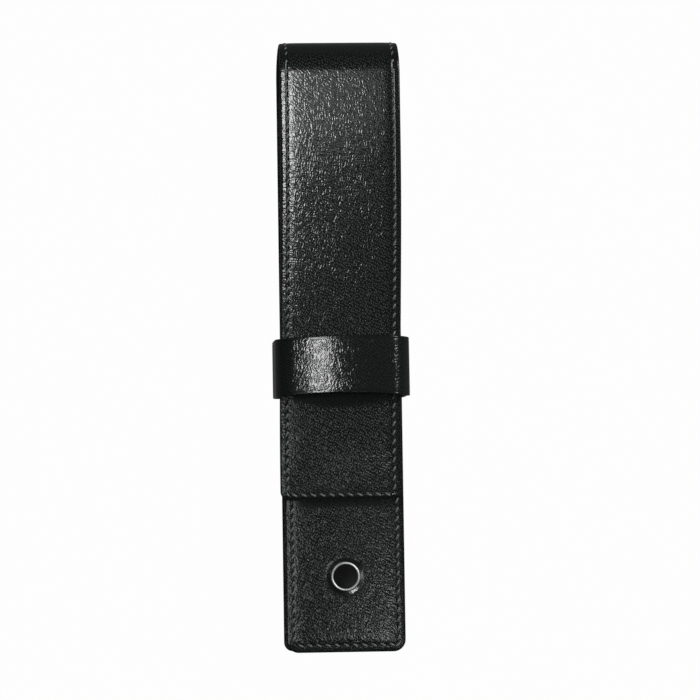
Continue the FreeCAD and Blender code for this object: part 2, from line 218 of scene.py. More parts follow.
# %% [markdown]
# ### Box calf leather
# Black calf is smooth but not flat: its hair side has pebbles about half a millimetre apart under a
# finish of wax and lacquer. The lacquer itself is glossy; what spreads the highlight and makes it
# sparkle is the tilt of the pebbles, by a few degrees. So the roughness is low, and the height of
# the pebbles is set by the tilt that the spread of the highlight needs. The pebbles are evenly
# spaced and a little drawn out across one direction of the hide, which is what a sum of short wave
# packets gives (Gabor noise); its heights are then evened out, since all pebbles are about as high.
# The even sparkle of the pebbles is also painted into the colour: one lighter dot in each cell of a
# pattern that is laid out on the flat hide, a painted highlight that shows under any lamp. Soft noise
# lets the skin roll over many pebbles. Beside a seam and on a folded edge the skin is pressed smooth,
# which the grain attribute of the mesh says. The same attribute takes the lighter dots away in a lens
# below the loop and in a strip below the flap's end, where shadows are painted, and gives the left
# margins more of them, a painted highlight. The pebbles are drawn a little coarser than those of real
# box calf, because finer ones wouldn't show. They could also be modelled, but at this size bump is
# enough.

# %% Leather finish
PEBBLE = 0.6
PEBBLE_RELIEF = 0.021
PEBBLE_HEIGHTS = (0.3, 0.7)
PEBBLE_ORDER = 0.35
WAVES_IN_PACKET = 2.0
SKIN_ROLL = 1.6
SKIN_ROLL_RELIEF = 0.02
DOT_SPACING = (0.58, 0.78)
DOT_SCATTER = 0.55
DOT_EDGE = (0.36, 0.06)
GLOSS_PATCH = 9.0
GLOSS = (0.11, 0.16)
LACQUER_IOR = 1.4


def pebbled(tree, place, grain, across):
    """Wave packets one pebble long, mostly along one direction and evened in height, over a slow roll."""
    pebbles = add(tree, "ShaderNodeTexGabor", {"gabor_type": "3D"},
                  {"Scale": per_metre(PEBBLE * WAVES_IN_PACKET), "Frequency": WAVES_IN_PACKET,
                   "Anisotropy": PEBBLE_ORDER, "Orientation 3D": across},
                  {"Vector": place.outputs["Object"]})
    even = add(tree, "ShaderNodeMapRange", {"interpolation_type": "SMOOTHSTEP"},
               {"From Min": PEBBLE_HEIGHTS[0], "From Max": PEBBLE_HEIGHTS[1]},
               {"Value": pebbles.outputs["Value"]})
    coarse = add(tree, "ShaderNodeBump", values={"Distance": PEBBLE_RELIEF * MM},
                 links={"Height": even.outputs["Result"], "Strength": grain.outputs["Fac"]})
    roll = noise(tree, place, SKIN_ROLL, 2.0)
    return add(tree, "ShaderNodeBump", values={"Distance": SKIN_ROLL_RELIEF * MM},
               links={"Height": roll.outputs["Fac"], "Strength": grain.outputs["Fac"],
                      "Normal": coarse.outputs["Normal"]})


def painted_sparkle_dots(tree, grain, furrow, top, lean):
    """Painted sparkle: one lighter dot in each cell of the flat hide, which fades where the grain attribute
    is low.
    """
    hide = add(tree, "ShaderNodeAttribute", {"attribute_name": "hide"})
    cells = add(tree, "ShaderNodeMapping", {"vector_type": "TEXTURE"},
                {"Rotation": (0.0, 0.0, lean), "Scale": (DOT_SPACING[0] * MM, DOT_SPACING[1] * MM, 1.0)},
                {"Vector": hide.outputs["Vector"]})
    dots = add(tree, "ShaderNodeTexVoronoi", {"voronoi_dimensions": "2D"},
               {"Scale": 1.0, "Randomness": DOT_SCATTER}, {"Vector": cells.outputs["Vector"]})
    sparkle_share = add(tree, "ShaderNodeMapRange", {"interpolation_type": "SMOOTHSTEP"},
               {"From Min": DOT_EDGE[0], "From Max": DOT_EDGE[1]},
               {"Value": dots.outputs["Distance"], "To Max": grain.outputs["Fac"]})
    # The lighter dot colour is painted sparkle: it stands in for the glints on the pebbles.
    return add(tree, "ShaderNodeMix", {"data_type": "RGBA"}, {"A": colour(furrow), "B": colour(top)},
               {"Factor": sparkle_share.outputs["Result"]})


def calf_leather(name, furrow, top, across, lean):
    """Lacquered calf: pebbles and lighter dots of painted sparkle under a gloss that changes from patch to
    patch.
    """
    finish, tree = new_finish(name)
    place = add(tree, "ShaderNodeTexCoord")
    grain = add(tree, "ShaderNodeAttribute", {"attribute_name": "grain"})
    relief = pebbled(tree, place, grain, across)
    sparkle_colour = painted_sparkle_dots(tree, grain, furrow, top, lean)
    patches = noise(tree, place, GLOSS_PATCH, 3.0)
    gloss = add(tree, "ShaderNodeMapRange", values={"To Min": GLOSS[0], "To Max": GLOSS[1]},
                links={"Value": patches.outputs["Fac"]})
    return surfaced(finish, tree, {"IOR": LACQUER_IOR},
                    {"Base Color": sparkle_colour.outputs["Result"], "Roughness": gloss.outputs["Result"],
                     "Normal": relief.outputs["Normal"]})


# Black with an even grey speckle, which is painted sparkle, and a sheen that breaks up into sparkle
box_calf = calf_leather("box_calf_black_lacquered", "#0d1110", "#484e4b",
                        (0.89, -0.45, 0.0), math.radians(-27))
# Darker and with fewer dots of painted sparkle, so that the loop shows one clear highlight
band_calf = calf_leather("box_calf_black_polished", "#111514", "#262c29",
                         (0.0, 1.0, 0.0), math.radians(60))
print("leather finishes", box_calf.name, band_calf.name)

# %% [markdown]
# ### Lining, thread, metal and resin
# The lining is a thin black suede split, and the loop's is a little browner. The thread is black
# waxed polyester, drawn grey as a painted sheen, so that the gloss along each stitch shows beside the
# black calf. The button is a steel ring round a disc of black resin. Fibres and polishing marks could
# be drawn one by one, but at this size fine noise is all that shows of them, so each finish is a small
# tree with one noise.

# %% Other finishes
POLISH_SPREAD = (0.8, 1.3)


def napped(name, base, nap_mm, relief_mm, roughness, ior=1.45):
    """A fibrous surface: fine noise as nap, which also lightens and darkens the colour."""
    finish, tree = new_finish(name)
    nap = noise(tree, add(tree, "ShaderNodeTexCoord"), nap_mm, 4.0)
    tint = add(tree, "ShaderNodeHueSaturation", values={"Color": colour(base)},
               links={"Value": nap.outputs["Fac"]})
    bump = add(tree, "ShaderNodeBump", values={"Distance": relief_mm * MM},
               links={"Height": nap.outputs["Fac"]})
    return surfaced(finish, tree, {"Roughness": roughness, "IOR": ior},
                    {"Base Color": tint.outputs["Color"], "Normal": bump.outputs["Normal"]})


def polished(name, base, metallic, roughness, swirl_mm, relief_mm, mirror=0.5):
    """A polished surface: fine noise as the last traces of the polishing wheel."""
    finish, tree = new_finish(name)
    swirl = noise(tree, add(tree, "ShaderNodeTexCoord"), swirl_mm, 2.0)
    low, high = (roughness * share for share in POLISH_SPREAD)
    gloss = add(tree, "ShaderNodeMapRange", values={"To Min": low, "To Max": high},
                links={"Value": swirl.outputs["Fac"]})
    bump = add(tree, "ShaderNodeBump", values={"Distance": relief_mm * MM},
               links={"Height": swirl.outputs["Fac"]})
    return surfaced(finish, tree,
                    {"Base Color": colour(base), "Metallic": metallic, "Specular IOR Level": mirror},
                    {"Roughness": gloss.outputs["Result"], "Normal": bump.outputs["Normal"]})


# Dull and dark, so that the inside of the pouch looks soft
suede_lining = napped("suede_lining_black", "#1b1c1c", 0.25, 0.04, 0.9)
# Dull and a little brown, so that the loop's inside shows as another leather
band_suede = napped("split_leather_band_lining", "#262422", 0.3, 0.03, 0.85)
# Brown and fibrous, as the edge of a book cover is
board_fibre = napped("pressed_fibre_board", "#5a4a38", 0.4, 0.02, 0.8)
# Dark grey without any sheen
foam = napped("foam_padding", "#3a3a3c", 0.5, 0.05, 0.95)
# Black thread drawn grey with a waxy gloss; the grey is a painted sheen, so that single stitches stand out on
# the black skin
painted_sheen_thread = napped("waxed_polyester_thread", "#808683", 0.18, 0.02, 0.26, 1.55)
# A wide, soft sheen that keeps the ring bright all round
steel = polished("polished_steel", "#e6e6e5", 1.0, 0.45, 0.8, 0.002)
# Greyer metal, straight from the press
washer_steel = polished("pressed_steel", "#9a9b9c", 1.0, 0.35, 0.5, 0.004)
# Deep black with a faint reflection
resin = polished("black_resin", "#060708", 0.0, 0.2, 1.0, 0.0005, 0.12)
print("small finishes ready")

# %% [markdown]
# ## One long strip
# The back, the fold and the flap are cut from one strip of leather, so one formula places them
# all. It takes a point by its distance across the strip, its distance along it and its height
# over the outer face, and bends the flat strip round the fold. The strip runs along the back,
# half round a circle and down the front. In the picture the flap lies a little askew, so the
# strip also drifts sideways by less than a millimetre.

# %% The strip's path
back_run = fold_middle_y - bottom_edge
turn_run = math.pi * fold_radius
turn_end = back_run + turn_run
strip_run = turn_end + fold_middle_y - flap_end
FOLD_DRIFT = 0.38
FOLD_DRIFT_SHARE = 0.6
FLAP_DRIFT = -1.3
FLAP_DRIFT_RUN = (18.0, 106.0)


def smooth(low, high, value):
    """Zero below low, one above high, and 3t^2 - 2t^3 of the share t in between."""
    share = np.clip((value - low) / (high - low), 0, 1)
    return share * share * (3 - 2 * share)


def drift(along):
    """How far the strip lies off the middle: to one side over the fold, to the other down the flap."""
    over_fold = smooth(back_run, back_run + FOLD_DRIFT_SHARE * turn_run, along)
    down_flap = smooth(*FLAP_DRIFT_RUN, along - turn_end)
    return FOLD_DRIFT * over_fold + FLAP_DRIFT * down_flap


def strip_place(x, along, height):
    """Bends the flat strip: straight run, half circle about the fold's middle, straight run back."""
    angle = np.clip((along - back_run) / fold_radius, 0, np.pi) - np.pi / 2
    before = np.minimum(along - back_run, 0)
    after = np.maximum(along - turn_end, 0)
    y = fold_middle_y + (fold_radius + height) * np.cos(angle) + before - after
    z = fold_middle_z + (fold_radius + height) * np.sin(angle)
    return np.stack(np.broadcast_arrays(x + drift(along), y, z), axis=-1)


print("strip is", strip_run.round(1), "mm long")

# %% [markdown]
# ## Outline and rim
# A cut piece of leather ends in rounded corners and a half-round, painted rim. If the distance of
# each point to the outline is known, everything that follows an edge can be written with it: the
# rim, the groove of the seam, and the swell of the padding inside the seam.

# %% Distance to the outline
BODY_CORNER = 3.2
BACK_CORNER = 2.4
FLAP_CORNER = 2.5


def corner_cut(along, radius):
    """How far a rounded corner takes the side in: the radius less the height of its quarter circle."""
    rest = radius - np.clip(along, 0, radius)
    return radius - np.sqrt(np.maximum(radius ** 2 - rest ** 2, 0))


def rim_distance(x, along, half, radius):
    """Distance to the side or the end, whichever is nearer; in a corner, to its quarter circle."""
    side = half - np.abs(x)
    into_side = radius - side
    into_end = radius - along
    corner = radius - np.hypot(np.maximum(into_side, 0), np.maximum(into_end, 0))
    return np.where((into_side > 0) & (into_end > 0), corner, np.minimum(side, along))


def strip_width(along):
    """Half the strip's width, which grows a little over the fold, from the back to the flap."""
    return half_body + (half_flap - half_body) * smooth(back_run + turn_run / 2, turn_end, along)


def strip_half(along, inset=0.0):
    """Half the strip's width with both rounded ends, drawn in by an inset."""
    cuts = corner_cut(along - inset, BACK_CORNER) + corner_cut(strip_run - inset - along, FLAP_CORNER)
    return strip_width(along) - inset - cuts


def strip_rim(x, along, inset=0.0):
    """Distance to the strip's outline, drawn in by an inset."""
    half = strip_width(along) - inset
    return np.minimum(rim_distance(x, along - inset, half, BACK_CORNER),
                      rim_distance(x, strip_run - inset - along, half, FLAP_CORNER))


front_run = mouth_edge - bottom_edge


def front_half(along, inset=0.0):
    """Half the front panel's width: rounded at the bottom, square at the mouth."""
    return half_body - inset - corner_cut(along - inset, BODY_CORNER)


def front_rim(x, along, inset=0.0):
    """Distance to any edge of the front panel, the mouth included."""
    sewn = rim_distance(x, along - inset, half_body - inset, BODY_CORNER)
    return np.minimum(sewn, front_run - inset - along)


def front_place(x, along, height):
    """The front panel lies flat: along runs up from the bottom edge."""
    return np.stack(np.broadcast_arrays(x, bottom_edge + along, front_high[2] + height), axis=-1)


print("front panel is", front_run.round(1), "mm long")

# %% [markdown]
# ## A sheet with a half-round rim
# A sheet has a face and a back that meet at the rim. Both are the same grid of points at two
# heights, and near the outline both heights close towards the middle as a half circle does. The
# grid is fine near edges, where the shape changes, and coarse in the middle.

# %% The sheet builder
FINE = np.array([0, 0.03, 0.09, 0.18, 0.3, 0.45, 0.65, 0.9, 1.15, 1.4, 1.55, 1.67, 1.77, 1.85, 1.93, 2.03,
                 2.15, 2.3, 2.5, 2.8, 3.2, 3.7, 4.3, 5.0])
STEP = 0.8


def stations(start, end, fine_start=False, fine_end=False):
    """Places from start to end about a step apart, closer together at an end that is an edge."""
    inner = np.linspace(start, end, max(int(abs(end - start) / STEP), 4) + 1)
    if fine_start:
        inner = np.concatenate([start + FINE, inner[inner > start + FINE[-1] + STEP / 2]])
    if fine_end:
        inner = np.concatenate([inner[inner < end - FINE[-1] - STEP / 2], end - FINE[::-1]])
    return inner


def sheet(name, place, rows, half, rim, relief, finish, level=0.0, thickness=leather, inset=0.0,
          rim_radius=0.42, grain=1.0, up=1):
    """Face at the level plus its relief, back one thickness below, joined by a half-round rim.

    A point's place on the flat hide is its distance across and along, the latter counted up or down.
    """
    share = stations(-half_body, half_body, True, True) / half_body
    along = np.repeat(rows[:, None], len(share), axis=1)
    x = share * half(rows, inset)[:, None]
    distance = np.maximum(rim(x, along, inset), 0)
    closing = np.sqrt(1 - (1 - np.clip(distance / rim_radius, 0, 1)) ** 2)
    base = level(along) if callable(level) else level
    middle = base - thickness / 2
    face = place(x, along, middle + (thickness / 2 + relief(x, along)) * closing)
    behind = place(x, along, middle - thickness / 2 * closing)
    points = np.concatenate([face, behind[:, -2:0:-1]], axis=1)
    row_count, column_count = points.shape[:2]
    faces = np.concatenate([grid_faces(row_count, column_count, wrap_columns=True),
                            end_caps(row_count, column_count)])
    strength = grain(x, along) if callable(grain) else np.full(x.shape, grain)
    strength, x, along = (np.concatenate([part, part[:, -2:0:-1]], axis=1) for part in (strength, x, along))
    return make_piece(name, points, faces, finish, strength, (x, up * along))


def flat(x, along):
    """No relief."""
    return np.zeros(np.broadcast(x, along).shape)


print("a sheet has", len(stations(-half_body, half_body, True, True)), "columns on each side")

# %% [markdown]
# ## Seams in the skin
# Thread pulls the leather down into a groove, so the strip outside the seam becomes a small bead
# that falls away to the rim. This could be sculpted by hand, but written with the distance to the
# seam it follows every corner by itself.

# %% Seams
SEAM = 1.85
END_SEAM = 1.4
GROOVE_DEPTH = 0.12
GROOVE_WIDTH = 0.18
BEAD_ROUND = 1.3
seam_end = strip_run - END_SEAM


def strip_seam(x, along):
    """Distance inside the strip's seam, negative outside it: the outline drawn in by the seam's margins."""
    half = strip_width(along) - SEAM
    return np.minimum(rim_distance(x, along - SEAM, half, BACK_CORNER - SEAM),
                      rim_distance(x, seam_end - along, half, FLAP_CORNER - END_SEAM))


def front_seam_inside(x, along):
    """Distance inside the seam of the front panel, which is open at the mouth."""
    return rim_distance(x, along - SEAM, half_body - SEAM, BODY_CORNER - SEAM)


def seam_relief(inside, bead_fall):
    """A bead that falls away outside the seam, and a groove along it whose section is a bell curve."""
    bead = -bead_fall * np.clip(-inside / SEAM, 0, 1) ** BEAD_ROUND
    groove = -GROOVE_DEPTH * np.exp(-(inside / GROOVE_WIDTH) ** 2)
    return bead + groove


print("seam", SEAM, "mm from the sides, and", END_SEAM, "mm from the flap's end")

# %% [markdown]
# ## Relief of the strip
# On the flap a thin pad lies inside the seam, and the leather climbs over it: that slope makes the
# bright line beside the left seam. On the back there is no pad. The stiff leather leaves the fold a
# little proud of the pouch and comes down again towards the flap's end.

# %% Relief of the strip
FLAP_BEAD = 0.12
END_ROLL = 0.4
END_ROUND = 1.5
PAD_RISE = 0.123
PAD_SWELL = 1.1
PAD_CROWN = 0.1
PAD_START = (-4.5, 0.5)
PAD_END = 15.0
BROW_RISE = 0.5
BROW_REACH = 12.0
BROW_ROUND = 4.0
BROW_FALL = (50.0, 108.0)
SHOULDER_FULLNESS = 0.35
SHOULDER_PLACE = -4.0
SHOULDER_WIDTH = 2.2
BACK_FULLNESS = 0.08


def brow(past_turn):
    """The flap springs up from the fold, ever flatter, and comes down again on its way to its end."""
    ramp = (past_turn + np.sqrt(past_turn ** 2 + BROW_ROUND ** 2)) / 2
    return BROW_RISE * (1 - np.exp(-ramp / BROW_REACH)) * (1 - smooth(*BROW_FALL, past_turn))


def strip_relief(x, along):
    """Seam, then the swell of the pad: steep beside the seam and ever flatter, with a low crown across.

    The pad starts where the fold ends and runs out towards the flap's end. The fold's shoulder is fuller
    than a circle, along a bell curve, and the end of the flap rolls down past its seam.
    """
    inside = strip_seam(x, along)
    past_turn = along - turn_end
    swell = 1 - np.exp(-np.maximum(inside, 0) / PAD_SWELL)
    crown = 1 - np.clip(np.abs(x) / half_flap, 0, 1) ** 2
    pad = (PAD_RISE + PAD_CROWN * crown) * smooth(0, PAD_END, seam_end - along) - BACK_FULLNESS
    shoulder = SHOULDER_FULLNESS * np.exp(-((past_turn - SHOULDER_PLACE) / SHOULDER_WIDTH) ** 2)
    roll = END_ROLL * np.clip((along - strip_run) / END_SEAM + 1, 0, 1) ** END_ROUND
    fullness = swell * (BACK_FULLNESS + smooth(*PAD_START, past_turn) * pad)
    return seam_relief(inside, FLAP_BEAD) + fullness + brow(past_turn) + shoulder - roll


flap_rise = strip_relief(0.0, np.arange(turn_end, seam_end)).max()
print("flap rises", flap_rise.round(2), "mm over the top of the fold's circle")

# %% [markdown]
# ## Grain of the strip
# Pebbles go flat where leather is pressed or stretched: outside the seam, over the fold and past
# the seam of the flap's end. In a lens below the loop the pebbles and their lighter dots are taken away
# too, which paints the loop's shadow there. On the left the margin keeps more grain and so more lighter
# dots, a painted highlight where the light from the left falls.

# %% Grain of the strip
SEAM_FADE = (0.2, 2.4)
MARGIN_GRAIN = 0.45
LEFT_LIGHT_GAIN = 0.4
FOLD_START = (0.2, 0.45)
FOLD_STOP = (1.0, 0.75)
FOLD_FLAT = 0.75
END_FADE = 0.5
END_FLAT = 0.8
LOOP_SHADOW_DEPTH = 3.4
LOOP_SHADOW_AT_SIDES = 0.05
LOOP_SHADOW_EDGE = 0.8
LOOP_SHADOW_TOP = (3.0, 1.5)
LOOP_SHADOW_FLAT = 0.85


def loop_shadow_lens(x, along):
    """Painted shadow of the loop: a lens below its lower rim, deepest in the middle, without pebbles and
    lighter dots.
    """
    over_rim = fold_middle_y - (along - turn_end) - band_low[1]
    depth = LOOP_SHADOW_DEPTH * np.clip(1 - (x / half_flap) ** 2, LOOP_SHADOW_AT_SIDES, 1)
    return smooth(-depth, -depth + LOOP_SHADOW_EDGE, over_rim) * smooth(*LOOP_SHADOW_TOP, over_rim)


def strip_grain(x, along):
    """Full inside the seam and less in the margins; each flat place takes its share away."""
    turned_share = (along - back_run) / turn_run
    over_fold = smooth(*FOLD_START, turned_share) * smooth(*FOLD_STOP, turned_share)
    past_end = smooth(0, END_FADE, along - seam_end)
    # More grain on the left margin brings more lighter dots: a painted highlight.
    margin = MARGIN_GRAIN + LEFT_LIGHT_GAIN * smooth(0, -half_flap, x)
    pressed = margin + (1 - margin) * smooth(*SEAM_FADE, strip_seam(x, along))
    # The lens below the loop is painted shadow: its lighter dots are taken away.
    kept = (1 - FOLD_FLAT * over_fold) * (1 - LOOP_SHADOW_FLAT * loop_shadow_lens(x, along)) * (1 - END_FLAT * past_end)
    return pressed * kept


print("grain on the fold", strip_grain(0.0, back_run + 0.6 * turn_run).round(2), "of the full depth")

# %% [markdown]
# ## Relief and grain of the front panel
# The front panel has the same seam and is a little full over its board. The button is drawn tight, so
# the leather dips round it and is smooth there. Below the flap's end a narrow strip is painted as the
# flap's shadow: it loses its pebbles and lighter dots.

# %% Relief and grain of the front panel
bezel_low, bezel_high = corners("emblem_bezel")
button_x = (bezel_low[0] + bezel_high[0]) / 2
button_y = (bezel_low[1] + bezel_high[1]) / 2
button_radius = (bezel_high[0] - bezel_low[0]) / 2
FRONT_BEAD = 0.13
FRONT_FULLNESS = 0.05
FRONT_CROWN = 0.2
DIMPLE_DEPTH = 0.22
DIMPLE_START = -0.3
DIMPLE_REACH = 1.4
DRAWN_FADE = (0.4, 2.0)
DRAWN_FLAT = 0.8
FLAP_SHADOW = (2.1, 1.3)
FLAP_SHADOW_TOP = (-3.0, -2.0)
FLAP_SHADOW_FLAT = 0.9
FRONT_SEAM_FADE = (-0.4, 1.0)
FRONT_MARGIN_GRAIN = 0.4
FRONT_LEFT_LIGHT_GAIN = 0.6
FRONT_CORNER_FADE = (3, 6)


def from_button(x, along):
    """Distance past the button's rim, negative inside it."""
    return np.hypot(x - button_x, bottom_edge + along - button_y) - button_radius


def front_relief(x, along):
    """Seam and slight fullness, with a dimple where the button is drawn tight."""
    inside = front_seam_inside(x, along)
    swell = 1 - np.exp(-np.maximum(inside, 0) / PAD_SWELL)
    dimple = 1 - smooth(DIMPLE_START, DIMPLE_REACH, from_button(x, along))
    crown = FRONT_CROWN * (1 - (x / half_body) ** 2)
    return seam_relief(inside, FRONT_BEAD) + swell * (FRONT_FULLNESS + crown) - dimple * DIMPLE_DEPTH


def front_grain(x, along):
    """Full inside the seam and less outside it, more so on the right; the left margin keeps more, which
    adds lighter dots as a painted highlight.

    It is flat at the button, and below the flap's end, where the missing lighter dots paint the flap's
    shadow.
    """
    below_flap = flap_end - bottom_edge - along
    # Below the flap's end the lighter dots are taken away: a painted shadow of the flap.
    flap_shadow = smooth(*FLAP_SHADOW_TOP, below_flap) * smooth(*FLAP_SHADOW, below_flap)
    drawn = 1 - smooth(*DRAWN_FADE, from_button(x, along))
    left = smooth(0, -half_body, x) * smooth(*FRONT_CORNER_FADE, along)
    # More grain on the left margin gives more lighter dots: a painted highlight.
    margin = FRONT_MARGIN_GRAIN + FRONT_LEFT_LIGHT_GAIN * left
    pressed = margin + (1 - margin) * smooth(*FRONT_SEAM_FADE, front_seam_inside(x, along))
    return pressed * (1 - FLAP_SHADOW_FLAT * flap_shadow) * (1 - DRAWN_FLAT * drawn)


print("button radius", button_radius.round(2), "mm, dimple", DIMPLE_DEPTH, "mm deep")

# %% [markdown]
# ## Skins of the strip
# The strip crosses three hinges of the frame, so it is cut into stretches: the back rides with the
# pouch, the flap rides whole with the flap, and the three short stretches over the hinges are baked
# in place. All stretches come from the same formula, so their ends meet exactly.

# %% Stretches of the strip
BEND_MARGIN = 1.4
BEND_REACH = 6.0
CUTS = {
    "back": (0.0, back_run - BEND_REACH),
    "fold_low": (back_run - BEND_REACH, back_run + turn_run / 4),
    "fold_mid": (back_run + turn_run / 4, back_run + 0.75 * turn_run),
    "fold_top": (back_run + 0.75 * turn_run, turn_end + BEND_REACH),
    "flap": (turn_end + BEND_REACH, strip_run),
}
BODIES = {
    "back": ("pouch",),
    "fold_low": ("pouch", "fold_back"),
    "fold_mid": ("fold_back", "fold_front"),
    "fold_top": ("fold_front", "flap"),
    "flap": ("flap",),
}
STANDS_FOR = {"back": ("back",), "fold_mid": ("fold_back", "fold_front"), "flap": ("flap",)}


def stand_in(piece, slot, *nodes):
    """Hides the solids that a piece is seen in place of; the piece and its slot are not used."""
    if nodes:
        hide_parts(*nodes)


def follow(piece, stretch, slot, layer):
    """Rides a stretch on its body; a stretch between two bodies is only baked in place."""
    stand_in(piece, slot, *(f"{node}_{layer}" for node in STANDS_FOR.get(stretch, ())))
    names = BODIES[stretch]
    if len(names) == 1:
        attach(piece, names[0])
        return
    start, end = CUTS[stretch]
    first = strip_place(0.0, np.array(start + BEND_MARGIN), -leather / 2) * MM
    last = strip_place(0.0, np.array(end - BEND_MARGIN), -leather / 2) * MM
    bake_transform(piece)


def strip_sheet(suffix, stretch, relief, finish, inset=0.0, **options):
    """A sheet along one stretch of the strip, with a fine rim where the stretch ends in an edge."""
    start, end = CUTS[stretch]
    rows = stations(max(start, inset), min(end, strip_run - inset), start == 0, end == strip_run)
    return sheet(f"{stretch}_{suffix}", strip_place, rows, strip_half, strip_rim, relief, finish,
                 inset=inset, up=-1, **options)


for stretch in CUTS:
    skin = strip_sheet("leather_skin", stretch, strip_relief, box_calf, grain=strip_grain)
    follow(skin, stretch, "calf_leather", "leather")

# %% [markdown]
# ## Linings of the strip
# A suede lining is glued to the inside of the strip and stops just short of its rim. On the back
# a board lies between the two, so there the lining runs deeper, and it rises to the leather where
# the fold begins.

# %% Lining stretches
LINING = 0.4
LINING_RIM = 0.2
LINING_INSET = 0.35
PANEL_LINING_INSET = 2.9
LINING_RISE = (-5.0, -0.5)


def lining_level(along):
    """The lining's outer face: under the board on the back, under the leather beyond it."""
    return -leather - board * (1 - smooth(*LINING_RISE, along - back_run))


for stretch in CUTS:
    inset = PANEL_LINING_INSET if stretch == "back" else LINING_INSET
    lining = strip_sheet("lining_sheet", stretch, flat, suede_lining, inset=inset, level=lining_level,
                         thickness=LINING, rim_radius=LINING_RIM)
    follow(lining, stretch, "lining", "lining")

# %% [markdown]
# ## The pad in the flap
# A thin sheet of foam lies between the leather and the lining of the flap and gives it its soft
# swell. It never shows, but it is there when the flap is taken apart, so it gets a crowned form.

# %% Pad
pad_low, pad_high = corners("flap_padding")
PAD_CORNER = 2.0
FOAM_CROWN = 0.25
pad_run = pad_high[1] - pad_low[1]


def pad_half(along, inset=0.0):
    """Half the pad's width, rounded at both ends."""
    return pad_high[0] - corner_cut(along, PAD_CORNER) - corner_cut(pad_run - along, PAD_CORNER)


def pad_rim(x, along, inset=0.0):
    """Distance to the pad's outline."""
    return np.minimum(rim_distance(x, along, pad_high[0], PAD_CORNER),
                      rim_distance(x, pad_run - along, pad_high[0], PAD_CORNER))


def pad_place(x, along, height):
    """The pad lies on the flap's lining; along runs up from its lower end."""
    return np.stack(np.broadcast_arrays(x, pad_low[1] + along, pad_high[2] + height), axis=-1)


def pad_relief(x, along):
    """A low crown across the pad."""
    return FOAM_CROWN * (1 - (x / pad_high[0]) ** 2)


pad = sheet("flap_pad", pad_place, stations(0.0, pad_run, True, True), pad_half, pad_rim, pad_relief, foam,
            thickness=pad_high[2] - pad_low[2], rim_radius=0.5)
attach(pad, "flap")
stand_in(pad, "padding", "flap_padding")

# %% [markdown]
# ## Front panel
# The front panel is a second sheet with a sewn outline. Its upper edge is the mouth of the pouch,
# which stays open, and near its lower end the button draws the leather into a dimple. The grid gets
# extra rows there, so that the dimple is round.

# %% Front panel and its lining
CLEARED_REACH = 3.4
DENSE_REACH = 4.0
DENSE_STEP = 0.3
LINING_SETBACK = 0.3
button_along = button_y - bottom_edge
dense_half = button_radius + DENSE_REACH
front_rows = stations(0.0, front_run, True, True)
cleared = np.abs(front_rows - button_along) < button_radius + CLEARED_REACH
dense = np.arange(button_along - dense_half, button_along + dense_half, DENSE_STEP)
front_rows = np.unique(np.concatenate([front_rows[~cleared], dense]))
front_skin = sheet("front_leather_skin", front_place, front_rows, front_half, front_rim, front_relief,
                   box_calf, grain=front_grain)
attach(front_skin, "pouch")
stand_in(front_skin, "calf_leather", "front_leather")

lining_rows = stations(PANEL_LINING_INSET, front_run - LINING_SETBACK, True, True)
front_lining = sheet("front_lining_sheet", front_place, lining_rows, front_half, front_rim, flat,
                     suede_lining, level=-leather - board, thickness=LINING,
                     inset=PANEL_LINING_INSET, rim_radius=LINING_RIM)
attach(front_lining, "pouch")
stand_in(front_lining, "lining", "front_lining")

# %% [markdown]
# ## Side wall
# The side wall is one narrow strip bent into a U between the two panels. Its section is a channel
# whose short legs are sewn to the panels, and its web bows in a little, as a side wall does that
# folds flat when the pouch is empty. The section is carried along the U, which has straight sides
# and two quarter circles.

# %% Side wall
EDGE_OVERHANG = 0.4
WALL = 0.8
WALL_BOW = 0.35
LEG = 2.3
LINING_LEG = 0.7
WALL_GRAIN = 0.8
wall_half = half_body - EDGE_OVERHANG
wall_bottom = bottom_edge + EDGE_OVERHANG
wall_corner = BODY_CORNER - EDGE_OVERHANG
wall_low = back_high[2]
wall_high = front_low[2]


def u_path(top, count_side=60, count_corner=12):
    """Down the left side, round two quarter circles and up the right: places and outward directions."""
    side = np.linspace(top, wall_bottom + wall_corner, count_side)
    turn = np.linspace(np.pi, 1.5 * np.pi, count_corner + 1)[1:]
    base = np.linspace(-(wall_half - wall_corner), 0, 20)[1:]
    x = np.concatenate([np.full(count_side, -wall_half), -wall_half + wall_corner * (1 + np.cos(turn)), base])
    y = np.concatenate([side, wall_bottom + wall_corner * (1 + np.sin(turn)),
                        np.full(len(base), wall_bottom)])
    out_x = np.concatenate([np.full(count_side, -1.0), np.cos(turn), np.zeros(len(base))])
    out_y = np.concatenate([np.zeros(count_side), np.sin(turn), np.full(len(base), -1.0)])
    x, out_x = (np.concatenate([half, -half[-2::-1]]) for half in (x, out_x))
    y, out_y = (np.concatenate([half, half[-2::-1]]) for half in (y, out_y))
    return np.stack([x, y], axis=-1), np.stack([out_x, out_y], axis=-1)


def carried(path, outward, offset, height):
    """Carries a section along a path: each point goes its offset outwards and to its height."""
    flat_place = path[:, None, :] + outward[:, None, :] * offset[None, :, None]
    level = np.broadcast_to(height[None, :, None], (*flat_place.shape[:2], 1))
    return np.concatenate([flat_place, level], axis=-1)


def bowed(height):
    """How far the web bows in: most half way up, nothing at the panels, as a parabola."""
    middle, half = (wall_low + wall_high) / 2, (wall_high - wall_low) / 2
    return -WALL_BOW * (1 - ((height - middle) / half) ** 2)


